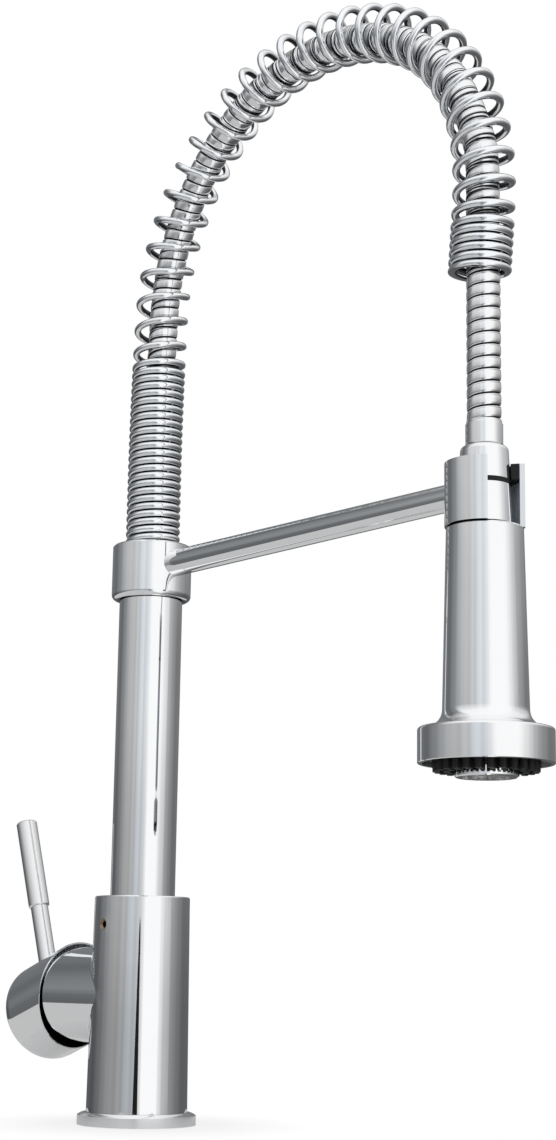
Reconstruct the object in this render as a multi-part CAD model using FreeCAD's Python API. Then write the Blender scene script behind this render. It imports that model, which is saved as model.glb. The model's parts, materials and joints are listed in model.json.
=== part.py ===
import FreeCAD, Part
import math
import os

from FreeCAD import Vector

# A kitchen mixer with a pull-down spray head on a spring arch, in millimetres.
# The origin is the centre of the base on the deck, +Z is up along the column,
# the arm points to +X and the handle's barrel to -X.

# Clearances
seat_gap = 0.05         # between pieces of one body that are screwed or pressed together
run_gap = 0.08          # radial clearance of a turning or sliding fit
pass_gap = 0.4          # between pieces that pass each other without guiding
face_gap = 0.2          # between flat faces that turn on each other

# Column and its foot in the valve body
body_top_z = 102.0
column_r = 15.0
column_wall = 1.5
column_rise = 160.0     # above the valve body
column_seat = 9.0       # of the tube in the valve body
foot_length = 24.0      # below the tube
foot_play = 1.0         # under the foot
foot_spigot = 15.0
foot_bore_r = 9.0
foot_edge = 0.6
bush_height = 6.0
bush_wall = 2.5
o_ring_wire_r = 1.4
o_ring_rises = (4.5, 10.5)      # above the foot's end
set_screw_drop = 13.0   # below the body's top
set_screw_r = 2.5
set_screw_groove = 1.5
set_screw_recess = 1.0
set_screw_key = 1.45
set_screw_key_depth = 3.0
column_top_z = body_top_z + column_rise
column_bottom_z = body_top_z - column_seat
foot_bottom_z = column_bottom_z - foot_length
socket_floor_z = foot_bottom_z - foot_play
o_ring_z = [foot_bottom_z + rise for rise in o_ring_rises]
set_screw_z = body_top_z - set_screw_drop

# Mixing cartridge: its ports and stem set the housing, and the housing sets the valve body
port_r = 2.6
port_side = 7.5
port_drop = 5.0
port_rise = 7.0
seal_r = 3.7
seal_wire_r = 0.9
base_rim = 0.69         # outside the seals
housing_wall = 3.2
stem_size = 8.0
stem_swing = 2.2        # room for the stem's tilt on each side
carrier_wall = 2.83
housing_neck_wall = 2.6
disc_room = 0.3
disc_travel = 3.0
chamber_wall = 4.2
cavity_gap = 0.2
cavity_wall = 5.02      # between the column's socket and the cartridge
cartridge_base_height = 4.8
disc_height = 4.4
driver_height = 4.8
driver_play = 0.35
carrier_flange = 1.7
housing_shoulder = 2.0
housing_neck = 11.5
nut_length = 4.4
nut_notch_r = 1.8
nut_notches = 6
pin_r = 1.5
pin_recess = 1.0
pivot_ahead = 1.0       # tilt pin ahead of the barrel's end
stem_ball_r = 3.0
stem_ball_sink = 0.4    # the ball's centre below the driver's face
stem_neck_r = 2.3
handle_travel = 21.0    # from the upright closed lever; the stem leans half of it each way
housing_bore_r = math.hypot(port_drop, port_side) + seal_r + seal_wire_r + base_rim
cartridge_r = housing_bore_r + housing_wall
stem_slot = stem_size + 2 * stem_swing
carrier_slot = stem_size + 2 * face_gap
housing_neck_bore_r = math.hypot(stem_slot, carrier_slot) / 2 + carrier_wall + run_gap
housing_neck_r = housing_neck_bore_r + housing_neck_wall
nut_bore_r = housing_neck_r + pass_gap
fixed_disc_r = housing_bore_r - disc_room
moving_disc_r = fixed_disc_r - disc_travel
chamber_r = moving_disc_r - chamber_wall

# Levels of the cartridge along the barrel, from the column's axis
cavity_floor = column_r + run_gap + cavity_wall
base_face = cavity_floor + seat_gap
fixed_disc_z = base_face + cartridge_base_height + seat_gap
moving_disc_z = fixed_disc_z + disc_height + seat_gap
driver_z = moving_disc_z + disc_height + seat_gap
driver_top = driver_z + driver_height
shoulder_z = driver_top + driver_play + carrier_flange + seat_gap
housing_end = shoulder_z + housing_neck
nut_z = shoulder_z + housing_shoulder + seat_gap
barrel_length = nut_z + nut_length + seat_gap
pivot_z = barrel_length + pivot_ahead
stem_arm = pivot_z - driver_top + stem_ball_sink

# Valve body with the handle's barrel
barrel_wall = 4.5
barrel_edge = 0.4
barrel_fillet = 3.0
body_margin = 0.86      # the body's foot beyond the barrel
body_taper = 1.03
body_edge = 0.5
socket_web = 4.0        # between the outlet's axis and the column's socket
spigot_bottom_z = 0.8
inlet_r = 4.5
inlet_thread_depth = 14.0
stud_x = 12.0
stud_r = 3.4
stud_depth = 22.0
passage_r = 3.2
barrel_r = cartridge_r + cavity_gap + barrel_wall
barrel_z = socket_floor_z - socket_web - port_rise
body_bottom_r = barrel_r + body_margin
body_top_r = body_bottom_r - body_taper

# Base flange and gasket
flange_ledge = 3.94     # beyond the body's foot
flange_height = 5.6
flange_slope = 1.4      # height of the rounded upper edge
flange_bulge_in = 1.8   # the rounded edge passes this far inside the rim
flange_bulge_drop = 0.4
flange_lip = 2.0        # between the gasket and the bore
gasket_edge = 2.5
gasket_width = 5.5
gasket_height = 2.0
flange_r = body_bottom_r + flange_ledge
gasket_outer_r = flange_r - gasket_edge
gasket_inner_r = gasket_outer_r - gasket_width
flange_bore_r = gasket_inner_r - flange_lip

# Handle
hub_tilt = 19.0         # the hub and lever lean this far outwards, as photographed
hub_step = 0.9          # beyond the barrel
hub_wall = 0.7
hub_length = 38.9
hub_corner_r = 9.0
hub_crown_r = 40.0
hub_cap = 25.5          # depth of the solid part behind the open skirt
hub_gap = 1.1           # between the barrel's end and the rim, level with the tilt pin
hub_relief = 26.0       # the rim's lower half is cut back by this angle, for the open handle
hub_lap = hub_tilt      # the rim's upper half laps over the barrel by this angle
stem_inset = 14.5       # of the stem's end, from the hub's crown
hub_screw_inset = 21.5
hub_screw_r = 2.5
hub_screw_length = 8.0
lever_inset = 17.2      # of the lever's axis, from the hub's crown
lever_r = 4.3
lever_seat = 5.0        # of the lever in the hub
lever_neck = 28.4       # from the hub's side to the grip
lever_tenon_step = 1.0
grip_step = 0.85
grip_length = 44.6
grip_cap = 2.0
grip_edge = 0.5
hub_r = barrel_r + hub_step
hub_rim = hub_gap - pivot_ahead
hub_web = hub_length - hub_cap
stem_reach = hub_length - stem_inset
hub_screw_reach = hub_length - hub_screw_inset
lever_reach = hub_length - lever_inset
lever_root = hub_r - lever_seat
lever_step = hub_r + lever_neck
lever_tip = lever_step + grip_length
lever_tenon_r = lever_r - lever_tenon_step
grip_r = lever_r + grip_step

# Hose
hose_r = 6.95
hose_wall = 2.35
hose_groove = 0.75
rib_pitch = 4.8
rib_crest = 3.2
hose_drop_length = 66.0     # of the length that is drawn out with the head
hose_bore_r = hose_r - hose_wall

# Spring
wire_r = 1.65
spring_room = 2.8       # round the hose
coil_gap = 0.46
spring_low_turns = 24.0
spring_open_turns = 30.5
spring_end_turns = 5.0
spring_ease = 2.0       # turns over which the coils open out
spring_skew = 0.115     # the first half of the open coils is wider than the second
spring_swell = -0.135   # the middle of the open coils is wider than the ends
spring_end_tilt = 5.0   # the free end hangs this far past the vertical
spring_end_run = 26.0
spring_offset = 0.8     # the free end hangs this far outside the hose
spring_start_turn = 0.365
spring_bore_r = hose_r + spring_room
spring_r = spring_bore_r + 2 * wire_r
spring_tight_pitch = 2 * wire_r + coil_gap

# Arch that the spring and the hose follow
arch_straight = 36.0
arch_lean_rise = 83.6
arch_lean = 2.25
arch_arcs = ((107.5, 71.7), (122.2, 44.8), (91.8, 58.5))    # radius and turn of rise, crown and shoulder
arch_drop_r = 150.0     # the arcs keep their shape and are scaled to reach the spray head

# Column plug that carries the spring and the hose
plug_spigot = 16.0
plug_flange = 2.0
plug_play = 0.55        # between the post and the spring
plug_post_height = 20.0
plug_bore_r = 4.5
hose_nut_play = 1.15
hose_nut_height = 12.0
hose_nut_hex = 8.0
plug_post_r = spring_bore_r - plug_play
hose_nut_r = spring_bore_r - hose_nut_play
spring_seat_z = column_top_z + seat_gap + plug_flange
spring_turns = spring_low_turns + spring_open_turns + spring_end_turns
hose_nut_z = spring_seat_z + plug_post_height + seat_gap
hose_start_z = hose_nut_z + hose_nut_height

# Collar and arm
head_x = 219.5
collar_wall = 3.85
collar_skirt = 20.0     # below the column's top
collar_lip = 4.35       # round the spring's foot
collar_fillet = 2.5
collar_bevel = 0.8
collar_relief = 1.2
collar_screw_rise = 8.0
collar_screw_r = 2.0
collar_screw_recess = 0.8
collar_screw_key = 1.15
collar_screw_key_depth = 1.6
arm_drop = 4.0          # below the column's top
arm_root_r = 6.3
arm_end_r = 5.6
arm_stud_step = 2.3
arm_end_stud_step = 3.0
arm_end_recess = 0.5
collar_r = column_r + seat_gap + collar_wall
collar_bottom_z = column_top_z - collar_skirt
collar_top_z = spring_seat_z + collar_lip
collar_screw_z = collar_bottom_z + collar_screw_rise
arm_z = column_top_z - arm_drop
arm_stud_r = arm_root_r - arm_stud_step
arm_end_stud_r = arm_end_r - arm_end_stud_step

# Hose end and the head's neck
barb_step = 0.8
barb_wall = 1.2
barb_tail = 14.0
barb_flange_step = 1.8
barb_flange = 2.6
ferrule_wall = 0.6      # over the hose
ferrule_length = 10.2
ferrule_lift = 0.3      # above the neck
ferrule_edge = 0.4
ferrule_crimp = 1.0
neck_play = 0.8         # round the barb's flange
neck_wall = 2.1
neck_taper = 1.4
neck_rise = 7.0         # above the dock
neck_shoulder = 2.1
neck_bearing = 9.5
neck_spigot_step = 1.5
neck_spigot = 10.0
neck_ring_lift = 2.4    # above the arm's axis
neck_ring_height = 2.0
neck_ring_depth = 0.9
neck_ring_inset = 0.25
washer_height = 2.2
check_valve_height = 11.0
check_valve_wall = 1.4
check_seat_r = 3.2
check_seat_height = 1.6
poppet_r = 4.4
poppet_height = 2.6
poppet_stem_r = 1.4
spider_size = 1.6
barb_tail_r = hose_bore_r - pass_gap
barb_bore_r = barb_tail_r - barb_wall
barb_r = barb_tail_r + barb_step
barb_flange_r = barb_r + barb_flange_step
ferrule_r = hose_r + ferrule_wall
neck_bore_r = barb_flange_r + neck_play
neck_top_r = neck_bore_r + neck_wall
neck_bottom_r = neck_top_r + neck_taper
neck_spigot_r = neck_bottom_r + neck_spigot_step

# Dock clip
dock_wall = 2.1
liner_wall = 2.35       # at the neck's foot
dock_above = 10.5       # the arm's axis
dock_below = 15.3
dock_half_opening = 42.4
liner_tab = 7.0         # the liner's far edge passes the clip's end by this angle
liner_drop = 0.4        # below the clip's top
liner_height = 6.4
dock_r = neck_bottom_r + pass_gap + liner_wall + seat_gap + dock_wall
dock_bottom_z = arm_z - dock_below
dock_top_z = arm_z + dock_above
head_top_z = dock_bottom_z - pass_gap
neck_bottom_z = head_top_z - seat_gap
neck_top_z = dock_top_z + neck_rise
neck_bearing_z = neck_top_z - neck_bearing
barb_flange_z = neck_bearing_z - barb_flange - face_gap
neck_ring_z = arm_z + neck_ring_lift
ferrule_bottom_z = neck_top_z + ferrule_lift
ferrule_top_z = ferrule_bottom_z + ferrule_length
hose_split_z = ferrule_top_z + hose_drop_length

# Spray head
head_length = 79.3
head_top_wall = 2.75
head_taper = 1.65
head_wall = 1.8
head_edge = 0.6
head_step = 1.0
flare_r = 7.0
rim_ledge = 2.7         # beyond the flare
rim_height = 14.2
rim_wall = 1.85
rim_edge = 1.2
rim_foot_edge = 0.3
rim_depth = 5.4         # of the face in the rim
sleeve_step = 3.95      # beyond the head's foot
sleeve_wall = 1.8
sleeve_lift = 2.4       # above the face
sleeve_web = 0.4
waterway_r = 7.0
waterway_wall = 1.4
waterway_flange = 3.0
waterway_plate = 2.0
diverter_height = 2.6
diverter_way_r = 2.4
diverter_inset = 6.4
diverter_ways = 6
face_height = 1.6
pad_height = 2.0
nozzle_drop = 3.2       # below the rim
nozzle_root_r = 1.75
nozzle_tip_r = 1.4
nozzle_counts = (20, 26)
nozzle_inner_step = 3.1     # from the aerator to the inner row
nozzle_outer_step = 5.5     # from the rim's inside to the outer row
aerator_r = 12.3
aerator_wall = 2.7
aerator_lip = 1.9       # plain edge below the notches
aerator_notches = 20
aerator_notch = 1.9
aerator_notch_depth = 1.1
aerator_edge = 0.5
aerator_drop = 5.3      # below the rim
aerator_inset = 1.5
aerator_height = 5.0
jet_r = 1.1
jet_rows = ((3.2, 6), (6.6, 12))
head_top_r = neck_spigot_r + seat_gap + head_top_wall
head_low_r = head_top_r + head_taper
sleeve_r = head_low_r + sleeve_step
rim_r = head_low_r + flare_r + rim_ledge
rim_top_z = head_top_z - head_length
rim_bottom_z = rim_top_z - rim_height
rim_web_z = rim_bottom_z + rim_depth
sleeve_bottom_z = rim_web_z + sleeve_lift
diverter_ring_r = sleeve_r - diverter_inset
nozzle_rows = tuple(zip((aerator_r + nozzle_inner_step, rim_r - rim_wall - nozzle_outer_step), nozzle_counts))
nozzle_tip_z = rim_bottom_z - nozzle_drop
aerator_bottom_z = rim_bottom_z - aerator_drop


def outline(start, *steps):
    """A closed face in the XZ plane; a step is an end point, or a middle and an end of an arc."""
    here = Vector(start[0], 0, start[1])
    first = here
    edges = []
    for step in steps:
        points = [Vector(p[0], 0, p[1]) for p in (step if isinstance(step[0], tuple) else (step,))]
        if len(points) == 2:
            edges.append(Part.Arc(here, points[0], points[1]).toShape())
        else:
            edges.append(Part.LineSegment(here, points[0]).toShape())
        here = points[-1]
    if (here - first).Length > 1e-6:
        edges.append(Part.LineSegment(here, first).toShape())
    return Part.Face(Part.Wire(edges))


def corner(centre, radius, degrees):
    """The point of a round corner at an angle from +X in the XZ plane."""
    angle = math.radians(degrees)
    return (centre[0] + radius * math.cos(angle), centre[1] + radius * math.sin(angle))


def turned(start, *steps):
    """An outline turned round the Z axis."""
    return outline(start, *steps).revolve(Vector(0, 0, 0), Vector(0, 0, 1), 360)


def rod(radius, low, high, x=0.0, y=0.0):
    """A cylinder along Z."""
    return Part.makeCylinder(radius, high - low, Vector(x, y, low))


def tube(outer, inner, low, high, x=0.0, y=0.0):
    """A round tube along Z."""
    return rod(outer, low, high, x, y).cut(rod(inner, low - 1, high + 1, x, y))


def torus(ring_r, wire, z):
    """An O-ring round the Z axis."""
    return Part.makeTorus(ring_r, wire, Vector(0, 0, z))


def aimed(shape, origin, below=0.0):
    """Turns a shape built along Z so that Z points to -X, a given angle below level."""
    turn = FreeCAD.Rotation(Vector(0, 1, 0), -(90 + below))
    return shape.transformed(FreeCAD.Placement(origin, turn).toMatrix())


def moved(shape, x, y, z):
    """A copy of a shape, shifted."""
    return shape.translated(Vector(x, y, z))


def on_head(shape):
    """A copy of a shape, shifted to the spray head's axis."""
    return moved(shape, head_x, 0, 0)


barrel_centre = Vector(0, 0, barrel_z)
pivot = Vector(-pivot_z, 0, barrel_z)
stem_tilt = hub_tilt - handle_travel / 2


def base_flange():
    shoulder = body_bottom_r + seat_gap
    bulge = (flange_r - flange_bulge_in, flange_height - flange_bulge_drop)
    ring = turned(
        (flange_bore_r, 0),
        (flange_r, 0),
        (flange_r, flange_height - flange_slope),
        (bulge, (shoulder, flange_height)),
        (flange_bore_r, flange_height),
    )
    groove = tube(gasket_outer_r + seat_gap, gasket_inner_r - seat_gap, -1, gasket_height + seat_gap)
    return ring.cut(groove)


def base_gasket():
    return tube(gasket_outer_r, gasket_inner_r, 0, gasket_height)


def body_passages():
    """The two inlets, the fixing stud's hole and the way up to the column."""
    depth = cavity_floor + 1
    cuts = [rod(stud_r, spigot_bottom_z - 1, spigot_bottom_z + stud_depth, stud_x)]
    inlet_top = barrel_z - port_drop
    for side in (-1, 1):
        y = side * port_side
        cuts.append(rod(inlet_r, spigot_bottom_z - 1, spigot_bottom_z + inlet_thread_depth, 0, y))
        cuts.append(rod(passage_r, spigot_bottom_z, inlet_top, 0, y))
        cuts.append(aimed(rod(passage_r, 0, depth), Vector(0, y, inlet_top)))
    outlet_z = barrel_z + port_rise
    cuts.append(aimed(rod(passage_r, 0, depth), Vector(0, 0, outlet_z)))
    cuts.append(rod(passage_r, outlet_z, socket_floor_z + 1))
    return cuts


def body_radius(z):
    """The body's outside at a height: it tapers from the flange to its top."""
    share = (z - flange_height) / (body_top_z - flange_height)
    return body_bottom_r + share * (body_top_r - body_bottom_r)


def valve_body():
    shell = turned(
        (0, spigot_bottom_z),
        (flange_bore_r - seat_gap, spigot_bottom_z),
        (flange_bore_r - seat_gap, flange_height + seat_gap),
        (body_bottom_r, flange_height + seat_gap),
        (body_radius(body_top_z - body_edge), body_top_z - body_edge),
        (body_top_r - body_edge, body_top_z),
        (0, body_top_z),
    )
    barrel = turned(
        (0, 0),
        (barrel_r, 0),
        (barrel_r, barrel_length - barrel_edge),
        (barrel_r - barrel_edge, barrel_length),
        (0, barrel_length),
    )
    body = shell.fuse(aimed(barrel, barrel_centre)).removeSplitter()
    body = body.makeFillet(barrel_fillet, root_edges(body))
    body = body.cut(aimed(rod(cartridge_r + cavity_gap, cavity_floor, barrel_length + 1), barrel_centre))
    body = body.cut(rod(column_r + run_gap, socket_floor_z, body_top_z + 1))
    bush_seat = column_r + bush_wall + seat_gap
    body = body.cut(rod(bush_seat, body_top_z - bush_height - seat_gap, body_top_z + 1))
    body = body.cut(body_passages())
    return body.cut(set_screw_bore(set_screw_r + seat_gap))


def root_edges(body):
    """The curves where the barrel leaves the body."""
    found = []
    for edge in body.Edges:
        box = edge.BoundBox
        curved = box.XLength > 1 and box.YLength > 1 and box.ZLength > 1
        if curved and box.XMin > 1 - barrel_length:
            found.append(edge)
    return found


def set_screw_bore(radius):
    """A hole from the -Y side of the body to the column."""
    return Part.makeCylinder(radius, body_bottom_r, Vector(0, 0, set_screw_z), Vector(0, -1, 0))


def column_set_screw():
    tip = column_r - set_screw_groove + pass_gap
    length = body_radius(set_screw_z) - set_screw_recess - tip
    screw = Part.makeCylinder(set_screw_r, length, Vector(0, -tip, set_screw_z), Vector(0, -1, 0))
    mouth = Vector(0, -tip - length, set_screw_z)
    return screw.cut(hex_socket(set_screw_key, set_screw_key_depth, mouth, Vector(0, 1, 0)))


def hex_socket(apothem, depth, mouth, inward):
    """A hexagon key's hole, cut inwards from its mouth."""
    reach = apothem / math.cos(math.radians(30))
    corners = [Vector(*corner((0, 0), reach, 60 * i), 0) for i in range(7)]
    prism = Part.Face(Part.makePolygon(corners)).extrude(Vector(0, 0, 2 * depth))
    turn = FreeCAD.Rotation(Vector(0, 0, 1), inward)
    start = mouth - inward * depth
    return prism.transformed(FreeCAD.Placement(start, turn).toMatrix())


def column_bush():
    return tube(column_r + bush_wall, column_r + run_gap, body_top_z - bush_height, body_top_z)


# Water ports of the cartridge
ports = ((-port_drop, -port_side), (-port_drop, port_side), (port_rise, 0))


def drilled(shape, radius, low, high):
    """Cuts the cartridge's three water ports."""
    return shape.cut([rod(radius, low - 1, high + 1, x, y) for x, y in ports])


def cartridge_base():
    top = base_face + cartridge_base_height
    plate = drilled(rod(housing_bore_r - seat_gap, base_face, top), port_r, base_face, top)
    for x, y in ports:
        seat = tube(seal_r + seal_wire_r + seat_gap, seal_r - seal_wire_r - seat_gap,
                    base_face - 1, base_face + 2 * seal_wire_r + seat_gap, x, y)
        plate = plate.cut(seat)
    return aimed(plate, barrel_centre)


def cartridge_seals():
    rings = [moved(torus(seal_r, seal_wire_r, base_face + seal_wire_r), x, y, 0) for x, y in ports]
    return aimed(Part.makeCompound(rings), barrel_centre)


def cartridge_housing():
    shell = turned(
        (housing_bore_r, base_face),
        (cartridge_r, base_face),
        (cartridge_r, shoulder_z + housing_shoulder),
        (housing_neck_r, shoulder_z + housing_shoulder),
        (housing_neck_r, housing_end),
        (housing_neck_bore_r, housing_end),
        (housing_neck_bore_r, shoulder_z),
        (housing_bore_r, shoulder_z),
    )
    return aimed(shell, barrel_centre)


def cartridge_nut():
    nut = tube(cartridge_r + cavity_gap - seat_gap, nut_bore_r, nut_z, nut_z + nut_length)
    for i in range(nut_notches):
        x, y = corner((0, 0), cartridge_r, 360 * i / nut_notches)
        nut = nut.cut(rod(nut_notch_r, nut_z + nut_length / 2, nut_z + nut_length + 1, x, y))
    return aimed(nut, barrel_centre)


def ceramic_fixed_disc():
    top = fixed_disc_z + disc_height
    disc = rod(fixed_disc_r, fixed_disc_z, top)
    return aimed(drilled(disc, port_r, fixed_disc_z, top), barrel_centre)


def ceramic_moving_disc():
    disc = rod(moving_disc_r, moving_disc_z, moving_disc_z + disc_height)
    chamber = rod(chamber_r, moving_disc_z - 1, moving_disc_z + disc_height / 2)
    return aimed(moved(disc.cut(chamber), disc_offset(), 0, 0), barrel_centre)


def disc_offset():
    """How far the stem holds the moving disc off the barrel's axis."""
    return stem_arm * math.sin(math.radians(stem_tilt))


def disc_driver():
    plate = rod(moving_disc_r, driver_z, driver_top)
    pocket_floor = pivot_z - stem_arm - stem_ball_r - pass_gap
    pocket = rod(stem_ball_r + pass_gap / 2, pocket_floor, driver_top + 1)
    return aimed(moved(plate.cut(pocket), disc_offset(), 0, 0), barrel_centre)


def cartridge_carrier():
    guide_r = housing_neck_bore_r - run_gap
    low = shoulder_z - carrier_flange - seat_gap
    core = rod(guide_r, low, housing_end).fuse(rod(housing_bore_r - pass_gap, low, shoulder_z - seat_gap))
    near = Vector(-stem_slot / 2, -carrier_slot / 2, low - 1)
    slot = Part.makeBox(stem_slot, carrier_slot, housing_end - low + 2, near)
    bore_end = Vector(0, -2 * guide_r, pivot_z)
    bore = Part.makeCylinder(pin_r + seat_gap, 4 * guide_r, bore_end, Vector(0, 1, 0))
    return aimed(core.cut(slot).cut(bore), barrel_centre)


def tilt_pin():
    half = housing_neck_bore_r - run_gap - pin_recess
    return Part.makeCylinder(pin_r, 2 * half, pivot - Vector(0, half, 0), Vector(0, 1, 0))


def cartridge_stem():
    half = stem_size / 2
    square = Part.makeBox(stem_size, stem_size, stem_reach + half, Vector(-half, -half, -half))
    ball = Part.makeSphere(stem_ball_r, Vector(0, 0, -stem_arm))
    arm = rod(stem_neck_r, -stem_arm, 0).fuse(ball)
    bore = Part.makeCylinder(pin_r + run_gap, stem_size + 2, Vector(0, -half - 1, 0), Vector(0, 1, 0))
    return aimed(square.fuse(arm).cut(bore), pivot, stem_tilt)


def handle_hub():
    crown_z = hub_length - hub_crown_r
    inner = hub_r - hub_corner_r
    low = hub_length - hub_crown_r + math.sqrt((hub_crown_r - hub_corner_r) ** 2 - inner ** 2)
    centre = (inner, low)
    join = math.degrees(math.atan2(low - crown_z, inner))
    skirt = hub_rim - hub_r * math.tan(math.radians(hub_lap))
    shell = turned(
        (0, skirt),
        (hub_r, skirt),
        (hub_r, low),
        (corner(centre, hub_corner_r, join / 2), corner(centre, hub_corner_r, join)),
        (corner((0, crown_z), hub_crown_r, (join + 90) / 2), (0, hub_length)),
    )
    shell = shell.cut(rod(hub_r - hub_wall, skirt - 1, hub_web)).cut(rim_cut())
    lever_end = Vector(lever_root, 0, lever_reach)
    lever_hole = Part.makeCylinder(lever_r + seat_gap, hub_r, lever_end, Vector(1, 0, 0))
    shell = aimed(shell.cut(lever_hole), pivot, hub_tilt)
    half = stem_size / 2 + seat_gap
    socket = Part.makeBox(2 * half, 2 * half, stem_reach + seat_gap, Vector(-half, -half, 0))
    shell = shell.cut(aimed(socket, pivot, stem_tilt))
    return shell.cut(hub_screw(hub_screw_r + seat_gap, hub_r))


def rim_cut():
    """What is cut off the hub's rim: it laps over the barrel above, and stands back from it below."""
    reach = 2 * hub_r
    lap = hub_rim - reach * math.tan(math.radians(hub_lap))
    back = hub_rim + reach * math.tan(math.radians(hub_relief))
    face = outline((0, hub_rim), (-reach, back), (-reach, lap - 1), (reach, lap - 1), (reach, lap))
    return moved(face.extrude(Vector(0, 2 * reach, 0)), 0, -reach, 0)


def hub_screw(radius, length):
    """A cylinder from the stem's flat out to the hub's far side."""
    tip = Vector(0, stem_size / 2 + seat_gap, hub_screw_reach)
    screw = Part.makeCylinder(radius, length, tip, Vector(0, 1, 0))
    return aimed(screw, pivot, stem_tilt)


def hub_set_screw():
    return hub_screw(hub_screw_r, hub_screw_length)


def lever_rod():
    rod_end = lever_tip - grip_cap
    spindle = turned(
        (0, lever_root + seat_gap),
        (lever_r, lever_root + seat_gap),
        (lever_r, lever_step - seat_gap),
        (lever_tenon_r, lever_step - seat_gap),
        (lever_tenon_r, rod_end),
        (0, rod_end),
    )
    return on_lever(spindle)


def lever_grip():
    sleeve = turned(
        (lever_tenon_r + seat_gap, lever_step),
        (grip_r - grip_edge, lever_step),
        (grip_r, lever_step + grip_edge),
        (grip_r, lever_tip - grip_edge),
        (grip_r - grip_edge, lever_tip),
        (0, lever_tip),
        (0, lever_tip - grip_cap + seat_gap),
        (lever_tenon_r + seat_gap, lever_tip - grip_cap + seat_gap),
    )
    return on_lever(sleeve)


def on_lever(shape):
    """Puts a shape built along Z on the lever's axis, square to the hub's."""
    upright = shape.transformed(FreeCAD.Placement(
        Vector(0, 0, lever_reach), FreeCAD.Rotation(Vector(0, 1, 0), 90)).toMatrix())
    return aimed(upright, pivot, hub_tilt)


def column_foot():
    bore = column_r - column_wall - seat_gap
    foot = turned(
        (foot_bore_r, foot_bottom_z),
        (column_r - foot_edge, foot_bottom_z),
        (column_r, foot_bottom_z + foot_edge),
        (column_r, column_bottom_z - seat_gap),
        (bore, column_bottom_z - seat_gap),
        (bore, column_bottom_z + foot_spigot),
        (foot_bore_r, column_bottom_z + foot_spigot),
    )
    for z in o_ring_z:
        half = o_ring_wire_r + seat_gap
        foot = foot.cut(tube(column_r + 1, column_r - 2 * half, z - half, z + half))
    half = set_screw_r + pass_gap
    groove_r = column_r - set_screw_groove
    return foot.cut(tube(column_r + 1, groove_r, set_screw_z - half, set_screw_z + half))


def column_seals():
    ring_r = column_r - o_ring_wire_r
    return Part.makeCompound([torus(ring_r, o_ring_wire_r, z) for z in o_ring_z])


def column_tube():
    return tube(column_r, column_r - column_wall, column_bottom_z, column_top_z)


def column_plug():
    bore = column_r - column_wall - seat_gap
    flange_z = column_top_z + seat_gap
    post = turned(
        (plug_bore_r, column_top_z - plug_spigot),
        (bore, column_top_z - plug_spigot),
        (bore, flange_z),
        (column_r, flange_z),
        (column_r, flange_z + plug_flange),
        (plug_post_r, flange_z + plug_flange),
        (plug_post_r, flange_z + plug_flange + plug_post_height),
        (plug_bore_r, flange_z + plug_flange + plug_post_height),
    )
    return post


def hose_lower_nut():
    hexagon = [Vector(*corner((0, 0), hose_nut_r, 60 * i), hose_nut_z) for i in range(7)]
    nut = Part.Face(Part.makePolygon(hexagon)).extrude(Vector(0, 0, hose_nut_hex))
    nut = nut.fuse(rod(hose_r, hose_nut_z, hose_start_z))
    return nut.cut(rod(hose_bore_r, hose_nut_z - 1, hose_start_z + 1))


def arm_collar():
    bore = column_r + seat_gap
    lip_z = spring_seat_z + seat_gap
    low = (collar_r - collar_fillet, collar_bottom_z + collar_fillet)
    ring = turned(
        (bore + collar_relief, collar_bottom_z),
        (low[0], collar_bottom_z),
        (corner(low, collar_fillet, -45), (collar_r, low[1])),
        (collar_r, collar_top_z - collar_bevel),
        (collar_r - collar_bevel, collar_top_z),
        (spring_r + pass_gap, collar_top_z),
        (spring_r + pass_gap, lip_z),
        (bore, lip_z),
        (bore, collar_bottom_z + collar_relief),
        (bore + collar_relief, collar_bottom_z + collar_relief),
    )
    stud = Part.makeCylinder(arm_stud_r + seat_gap, collar_r, Vector(column_r / 2, 0, arm_z), Vector(1, 0, 0))
    return ring.cut(stud).cut(collar_screw_bar(collar_screw_r + seat_gap, column_r / 2, collar_r))


def collar_screw_bar(radius, start, end):
    """A cylinder out to the back of the collar, between two distances from the column's axis."""
    return Part.makeCylinder(radius, end - start, Vector(-start, 0, collar_screw_z), Vector(-1, 0, 0))


def collar_screw():
    end = collar_r - collar_screw_recess
    screw = collar_screw_bar(collar_screw_r, column_r + 2 * seat_gap, end)
    mouth = Vector(-end, 0, collar_screw_z)
    return screw.cut(hex_socket(collar_screw_key, collar_screw_key_depth, mouth, Vector(1, 0, 0)))


def arm_rod():
    start = column_r + 3 * seat_gap
    end = head_x - dock_r + dock_wall - arm_end_recess
    cone = Part.makeCone(arm_root_r, arm_end_r, end - start, Vector(start, 0, arm_z), Vector(1, 0, 0))
    cone = cone.cut(rod(collar_r + seat_gap, 0, 2 * arm_z))
    cone = cone.cut(rod(dock_r + seat_gap, 0, 2 * arm_z, head_x))
    root = Part.makeCylinder(arm_stud_r, collar_r, Vector(start, 0, arm_z), Vector(1, 0, 0))
    tip = Part.makeCylinder(arm_end_stud_r, dock_r, Vector(end - dock_r, 0, arm_z), Vector(1, 0, 0))
    return cone.fuse([root, tip]).removeSplitter()


def mouth_wedge(near, far, reach):
    """The open sector of the dock, from an angle on the near side to one on the far side."""
    low = dock_bottom_z - 1
    points = [corner((0, 0), reach, angle) for angle in (-near, 0, far)]
    wedge = Part.makePolygon([Vector(x, y, low) for x, y in [(0, 0)] + points + [(0, 0)]])
    face = Part.Face(wedge)
    return face.extrude(Vector(0, 0, dock_top_z - low + 1))


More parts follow.
